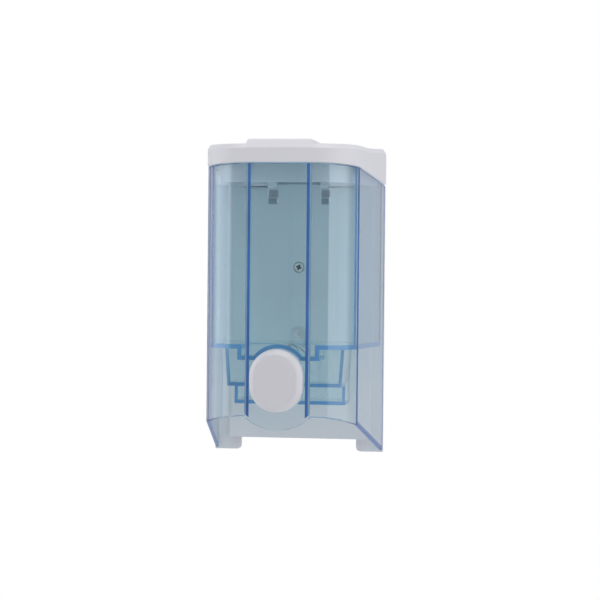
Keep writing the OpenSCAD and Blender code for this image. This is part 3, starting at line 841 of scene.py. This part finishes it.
def make_spring(steel):
    """The return spring, with a flat dead turn at each end."""
    back, front = SPRING_BACK + WIRE_R, BUTTON_INNER_D - WIRE_R
    steps = 40
    rings = []
    for i in range(SPRING_TURNS * steps + 1):
        turn = i / steps
        t = min(max((turn - SPRING_DEAD) / (SPRING_TURNS - 2 * SPRING_DEAD), 0), 1)
        d = back + (front - back) * t
        a = 2 * math.pi * turn
        ring = []
        for k in range(12):
            s = 2 * math.pi * k / 12
            r = SPRING_R + WIRE_R * math.cos(s)
            ring.append((r * math.cos(a), d + WIRE_R * math.sin(s), PUMP_H + r * math.sin(a)))
        rings.append(ring)
    spring = finish_piece(sweep(rings), "spring_coil", "housing", ["return_spring"], "steel", steel)
    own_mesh(spring)


# ---- materials ----

ABSORB = (0.07, 0.785, 0.94)    # the colour that light turns on a long path through the clear plastic
ABSORB_DENSITY = 30


class Nodes:
    """Shorthands for a material's or a world's node tree."""

    def __init__(self, tree):
        self.tree = tree

    def add(self, kind, **inputs):
        node = self.tree.nodes.new(kind)
        for name, value in inputs.items():
            node.inputs[name.replace("_", " ")].default_value = value
        return node

    def link(self, source, target):
        self.tree.links.new(source, target)


def new_material(name, colour, roughness, **inputs):
    """A material with the shader's other inputs by name, as (material, its nodes, its shader)."""
    mat = bpy.data.materials.new(name)
    mat.use_nodes = True
    nodes = Nodes(mat.node_tree)
    shader = mat.node_tree.nodes["Principled BSDF"]
    shader.inputs["Base Color"].default_value = (*colour, 1)
    shader.inputs["Roughness"].default_value = roughness
    for label, value in inputs.items():
        shader.inputs[label.replace("_", " ")].default_value = value
    return mat, nodes, shader


def noise(nodes, scale, detail, roughness=0.5):
    """Noise in the frame's own metres."""
    coord = nodes.add("ShaderNodeTexCoord")
    made = nodes.add("ShaderNodeTexNoise", Scale=scale, Detail=detail, Roughness=roughness)
    nodes.link(coord.outputs["Object"], made.inputs["Vector"])
    return made.outputs["Fac"]


def vary_roughness(nodes, shader, low, high, scale):
    """Spreads the noise, which stays mostly between 0.3 and 0.7, over low to high."""
    spread = nodes.add("ShaderNodeMapRange", From_Min=0.3, From_Max=0.7, To_Min=low, To_Max=high)
    nodes.link(noise(nodes, scale, 4), spread.inputs["Value"])
    nodes.link(spread.outputs["Result"], shader.inputs["Roughness"])


def add_bump(nodes, shader, layers):
    """Bumps on top of each other. A layer is (noise scale, strength, depth in mm)."""
    normal = None
    for scale, strength, depth in layers:
        bump = nodes.add("ShaderNodeBump", Strength=strength, Distance=depth * MM)
        nodes.link(noise(nodes, scale, 2), bump.inputs["Height"])
        if normal is not None:
            nodes.link(normal, bump.inputs["Normal"])
        normal = bump.outputs["Normal"]
    nodes.link(normal, shader.inputs["Normal"])


def vary_colour(nodes, shader, first, second, scale):
    """Mixes two colours by noise."""
    mix = nodes.add("ShaderNodeMix")
    mix.data_type = "RGBA"
    mix.inputs["A"].default_value = (*first, 1)
    mix.inputs["B"].default_value = (*second, 1)
    nodes.link(noise(nodes, scale, 4, 0.6), mix.inputs["Factor"])
    nodes.link(mix.outputs["Result"], shader.inputs["Base Color"])


def clear_plastic(name, tint=(1, 1, 1), clearness=1.0):
    """Clear blue plastic: the volume darkens long paths, and lamps reach what is inside.

    A less clear copy with a tint paints shade along a moulded edge, or a highlight beside it.
    """
    mat, nodes, shader = new_material(name, tint, 0.02, Transmission_Weight=clearness, IOR=1.5)
    vary_roughness(nodes, shader, 0.012, 0.05, 90)
    add_bump(nodes, shader, [(35, 0.12, 0.25)])
    if clearness < 1:
        vary_colour(nodes, shader, [0.75 * c for c in tint], [min(1, 1.2 * c) for c in tint], 45)
    through = nodes.add("ShaderNodeBsdfTransparent", Color=(0.98, 0.99, 0.99, 1))
    path = nodes.add("ShaderNodeLightPath")
    lamps = nodes.add("ShaderNodeMath")
    lamps.operation = "MAXIMUM"
    mix = nodes.add("ShaderNodeMixShader")
    volume = nodes.add("ShaderNodeVolumeAbsorption", Color=(*ABSORB, 1), Density=ABSORB_DENSITY)
    out = mat.node_tree.nodes["Material Output"]
    nodes.link(path.outputs["Is Shadow Ray"], lamps.inputs[0])
    nodes.link(path.outputs["Is Diffuse Ray"], lamps.inputs[1])
    nodes.link(lamps.outputs[0], mix.inputs["Fac"])
    nodes.link(shader.outputs[0], mix.inputs[1])
    nodes.link(through.outputs[0], mix.inputs[2])
    nodes.link(mix.outputs[0], out.inputs["Surface"])
    nodes.link(volume.outputs[0], out.inputs["Volume"])
    return mat


def white_gloss(name, tone, tint=(0.80, 0.79, 0.83)):
    colour = [tone * c for c in tint]
    mat, nodes, shader = new_material(name, colour, 0.3)
    vary_roughness(nodes, shader, 0.28, 0.34, 60)
    vary_colour(nodes, shader, [0.99 * c for c in colour], [1.01 * c for c in colour], 25)
    add_bump(nodes, shader, [(1800, 0.04, 0.02)])
    return mat


def plate_white():
    mat, nodes, shader = new_material("white_plate_plastic", (0.71, 0.72, 0.76), 0.45)
    vary_roughness(nodes, shader, 0.38, 0.55, 80)
    vary_colour(nodes, shader, (0.70, 0.71, 0.75), (0.72, 0.73, 0.77), 18)
    add_bump(nodes, shader, [(30, 0.10, 0.2), (2500, 0.12, 0.03)])
    return mat


def pump_grey():
    mat, nodes, shader = new_material("pump_plastic", (0.62, 0.66, 0.70), 0.4)
    vary_roughness(nodes, shader, 0.32, 0.5, 150)
    vary_colour(nodes, shader, (0.59, 0.63, 0.67), (0.65, 0.69, 0.73), 60)
    add_bump(nodes, shader, [(2200, 0.1, 0.02)])
    return mat


def seal_rubber():
    mat, nodes, shader = new_material("seal_rubber", (0.05, 0.05, 0.06), 0.6)
    vary_roughness(nodes, shader, 0.5, 0.75, 200)
    vary_colour(nodes, shader, (0.04, 0.04, 0.045), (0.075, 0.075, 0.08), 120)
    add_bump(nodes, shader, [(1500, 0.2, 0.03)])
    return mat


def plated_steel():
    mat, nodes, shader = new_material("plated_steel", (0.62, 0.62, 0.63), 0.28, Metallic=1)
    vary_roughness(nodes, shader, 0.2, 0.42, 300)
    vary_colour(nodes, shader, (0.56, 0.56, 0.57), (0.70, 0.70, 0.71), 150)
    add_bump(nodes, shader, [(900, 0.12, 0.02)])
    return mat


def zinc_plating():
    mat, nodes, shader = new_material("zinc_plating", (0.90, 0.91, 0.90), 0.35, Metallic=0.35)
    vary_roughness(nodes, shader, 0.28, 0.45, 400)
    vary_colour(nodes, shader, (0.86, 0.87, 0.86), (0.94, 0.95, 0.93), 250)
    add_bump(nodes, shader, [(1200, 0.1, 0.02)])
    return mat


# Painted shade for the screw's cross recess.
def painted_shade_recess():
    mat, nodes, shader = new_material("painted_shade_recess", (0.03, 0.03, 0.03), 0.6)
    vary_roughness(nodes, shader, 0.5, 0.75, 400)
    vary_colour(nodes, shader, (0.02, 0.02, 0.02), (0.05, 0.05, 0.05), 500)
    return mat


def dress_cad_node(node, mat, width):
    """A small CAD node keeps its mesh, and gets a material and softer edges."""
    piece = frame["nodes"][node]
    piece.data.materials.clear()
    piece.data.materials.append(mat)
    weld = piece.modifiers.new("weld", "WELD")
    weld.merge_threshold = 0.003 * MM
    edge = piece.modifiers.new("round", "BEVEL")
    edge.width = width * MM
    edge.segments = 2
    edge.limit_method = "ANGLE"
    edge.angle_limit = math.radians(40)


# ---- camera ----

CAMERA_SENSOR = 36
CAMERA_LENS = 120.23
CAMERA_AIM = (0, 40, 100)       # the point that the camera turns round
CAMERA_DISTANCE = 1321.5
CAMERA_AZIMUTH = 8.91           # degrees to the right of straight ahead
CAMERA_ELEVATION = 0.854
CAMERA_ROLL = 0.535
CAMERA_SHIFT = (0.0147, 0.0058)


def toward(azimuth, elevation):
    """The direction that is azimuth to the right of straight ahead of the object, and elevation up."""
    a, e = math.radians(azimuth), math.radians(elevation)
    return Vector((math.sin(a) * math.cos(e), -math.cos(a) * math.cos(e), math.sin(e)))


def make_camera():
    data = bpy.data.cameras.new("camera")
    data.lens = CAMERA_LENS
    data.sensor_width = CAMERA_SENSOR
    data.shift_x, data.shift_y = CAMERA_SHIFT
    camera = bpy.data.objects.new("camera", data)
    scene.collection.objects.link(camera)
    back = toward(CAMERA_AZIMUTH, CAMERA_ELEVATION)
    at = place(*CAMERA_AIM) + back * CAMERA_DISTANCE * MM
    turn = back.to_track_quat("Z", "Y").to_matrix().to_4x4()
    roll = Matrix.Rotation(math.radians(CAMERA_ROLL), 4, "Z")
    camera.matrix_world = Matrix.Translation(at) @ turn @ roll
    scene.camera = camera


# ---- light ----

ROOM_FRONT = 0.31               # radiance of the dim room in front of the object
ROOM_BACK = 0.7                 # and of the white cyclorama behind it
ROOM_TURN = (-0.15, 0.35)       # how far back a direction points where the one turns into the other
LAMP_DISTANCE = 1.3             # metres
SOFT_BOXES = (                  # name, azimuth, elevation, width, height, radiance and colour
    ("soft_box_left", -77, 2, 1.35, 1.8, 1.0, (0.97, 0.97, 1.0)),
    ("soft_box_right", 61, 2, 1.38, 1.8, 0.96, (0.98, 0.98, 1.0)),
    ("soft_box_top", 5, 62, 1.3, 0.9, 2.0, (1.0, 1.0, 1.0)),
)


def soft_box(name, azimuth, elevation, width, height, radiance, colour):
    """A studio soft box that faces the middle of the object. Sizes are in metres."""
    data = bpy.data.lights.new(name, "AREA")
    data.shape = "RECTANGLE"
    data.size, data.size_y = width, height
    data.energy = radiance * math.pi * width * height
    data.color = colour
    lamp = bpy.data.objects.new(name, data)
    scene.collection.objects.link(lamp)
    away = toward(azimuth, elevation)
    turn = away.to_track_quat("Z", "Y").to_matrix().to_4x4()
    lamp.matrix_world = Matrix.Translation(away * LAMP_DISTANCE) @ turn
    lamp.visible_camera = False


def make_world():
    """White where the camera looks past the object, and light from a white cyclorama behind it."""
    world = bpy.data.worlds.new("studio")
    scene.world = world
    world.use_nodes = True
    world.node_tree.nodes.clear()
    nodes = Nodes(world.node_tree)
    out = nodes.add("ShaderNodeOutputWorld")
    seen = nodes.add("ShaderNodeBackground", Color=(1, 1, 1, 1))
    light = nodes.add("ShaderNodeBackground", Color=(0.94, 0.95, 1, 1))
    mix = nodes.add("ShaderNodeMixShader")
    path = nodes.add("ShaderNodeLightPath")
    coord = nodes.add("ShaderNodeTexCoord")
    split = nodes.add("ShaderNodeSeparateXYZ")
    ramp = nodes.add("ShaderNodeMapRange", From_Min=ROOM_TURN[0], From_Max=ROOM_TURN[1],
                     To_Min=ROOM_FRONT, To_Max=ROOM_BACK)
    ramp.interpolation_type = "SMOOTHSTEP"
    nodes.link(coord.outputs["Generated"], split.inputs[0])
    nodes.link(split.outputs["Y"], ramp.inputs["Value"])
    nodes.link(ramp.outputs["Result"], light.inputs["Strength"])
    nodes.link(path.outputs["Is Camera Ray"], mix.inputs["Fac"])
    nodes.link(light.outputs[0], mix.inputs[1])
    nodes.link(seen.outputs[0], mix.inputs[2])
    nodes.link(mix.outputs[0], out.inputs["Surface"])


def make_lights():
    make_world()
    for row in SOFT_BOXES:
        soft_box(*row)


# ---- stage ----

FLOOR_RADIUS = 1200
FLOOR_DROP = 350                # how far the floor lies below the feet
FLOOR_COLOUR = (0.93, 0.93, 0.93)
WALL_RADIUS = 400
WALL_GAP = 0.8                  # between wall and plate
WALL_COLOUR = (0.47, 0.46, 0.60)
WALL_PATCHES = (                # name, lowest and highest h, and colour
    ("painted_light_by_hole", 20, 150, (0.85, 0.88, 0.90)),      # painted light, seen through the hole below the screw, where the plate's shade falls
    ("painted_shade_by_slots", 155, 189, (0.28, 0.34, 0.39)),    # painted shade, seen through the plate's slots
)


def disc(name, radius, segments, matrix):
    """A flat disc, which matrix puts in its place."""
    bm = bmesh.new()
    bmesh.ops.create_circle(bm, cap_ends=True, segments=segments, radius=radius * MM, matrix=matrix)
    return add_mesh(name, bm)


def make_stage():
    """A pale floor, and a wall that is only seen through the clear plastic, with two patches on it: painted
    light behind the plate's lower hole and painted shade behind its slots.
    """
    upright = Matrix.Rotation(math.pi / 2, 4, "X")
    floor = disc("floor", FLOOR_RADIUS, 96, Matrix.Translation(place(0, 0, -FLOOR_DROP)))
    wall = disc("wall", WALL_RADIUS, 64, Matrix.Translation(place(0, -WALL_GAP, ORIGIN_H)) @ upright)
    painted = [(floor, FLOOR_COLOUR), (wall, WALL_COLOUR)]
    for name, low, high, colour in WALL_PATCHES:
        bm = bmesh.new()
        outline = rectangle(-TONGUE_HALF, TONGUE_HALF, low, high)
        bm.faces.new([bm.verts.new(place(x, -WALL_GAP / 2, h)) for x, h in outline])
        painted.append((add_mesh(name, bm), colour))
    for piece, _ in painted[1:]:
        piece.visible_camera = piece.visible_diffuse = piece.visible_glossy = piece.visible_shadow = False
    for piece, colour in painted:
        mat, nodes, shader = new_material(piece.name + "_paint", colour, 0.6)
        vary_roughness(nodes, shader, 0.5, 0.7, 4)
        piece.data.materials[0] = mat


# ---- build ----

make_camera()
make_lights()
make_stage()

clear = clear_plastic("clear_blue_plastic")
# painted shade along the cover's edges
painted_shade_clear = clear_plastic("clear_blue_painted_shade", (0.08, 0.25, 0.66), clearness=0.4)
# painted shade along the tank's edges
painted_shade_tank = clear_plastic("clear_blue_tank_painted_shade", (0.17, 0.46, 0.84), clearness=0.35)
# a painted highlight in the hollow beside the panel's edges
painted_glint_clear = clear_plastic("clear_blue_painted_glint", (0.42, 0.66, 0.92), clearness=0.5)
lid_white = white_gloss("white_lid_plastic", 0.96)
# the lid's white, darker and bluer: painted shade for the lip under the lid
painted_shade_lip = white_gloss("white_lip_painted_shade", 0.86, (0.76, 0.80, 0.88))
pump, rubber, steel = pump_grey(), seal_rubber(), plated_steel()

make_front_cover(clear, painted_shade_clear, painted_glint_clear)
make_tank(clear, painted_shade_tank)
make_lid(lid_white, painted_shade_lip)
# the lid's white, a little darker: painted shade on the button
make_button(white_gloss("white_button_painted_shade", 0.90))
make_plate(plate_white())
make_screw(zinc_plating(), painted_shade_recess())
make_spring(steel)

for mat, edge_width, nodes in (
    (steel, 0.2, ("hinge_pin",)),
    (steel, 0.05, ("inlet_ball",)),
    (pump, 0.15, ("piston", "pump_barrel", "barrel_cap", "pump_nut", "suction_elbow", "nozzle_cap")),
    (pump, 0.1, ("suction_strainer", "outlet_nozzle")),
    (rubber, 0.1, ("piston_seal", "pump_gasket", "spout_ring")),
    (rubber, 0.04, ("outlet_valve",)),
):
    for node in nodes:
        dress_cad_node(node, mat, edge_width)

scene.view_settings.view_transform = "Standard"
scene.cycles.caustics_refractive = False
scene.cycles.caustics_reflective = False
# Light is thrown back and forth inside the clear walls many times before it comes out.
scene.cycles.max_bounces = 48
scene.cycles.transmission_bounces = 48
scene.cycles.glossy_bounces = 32
scene.cycles.transparent_max_bounces = 32
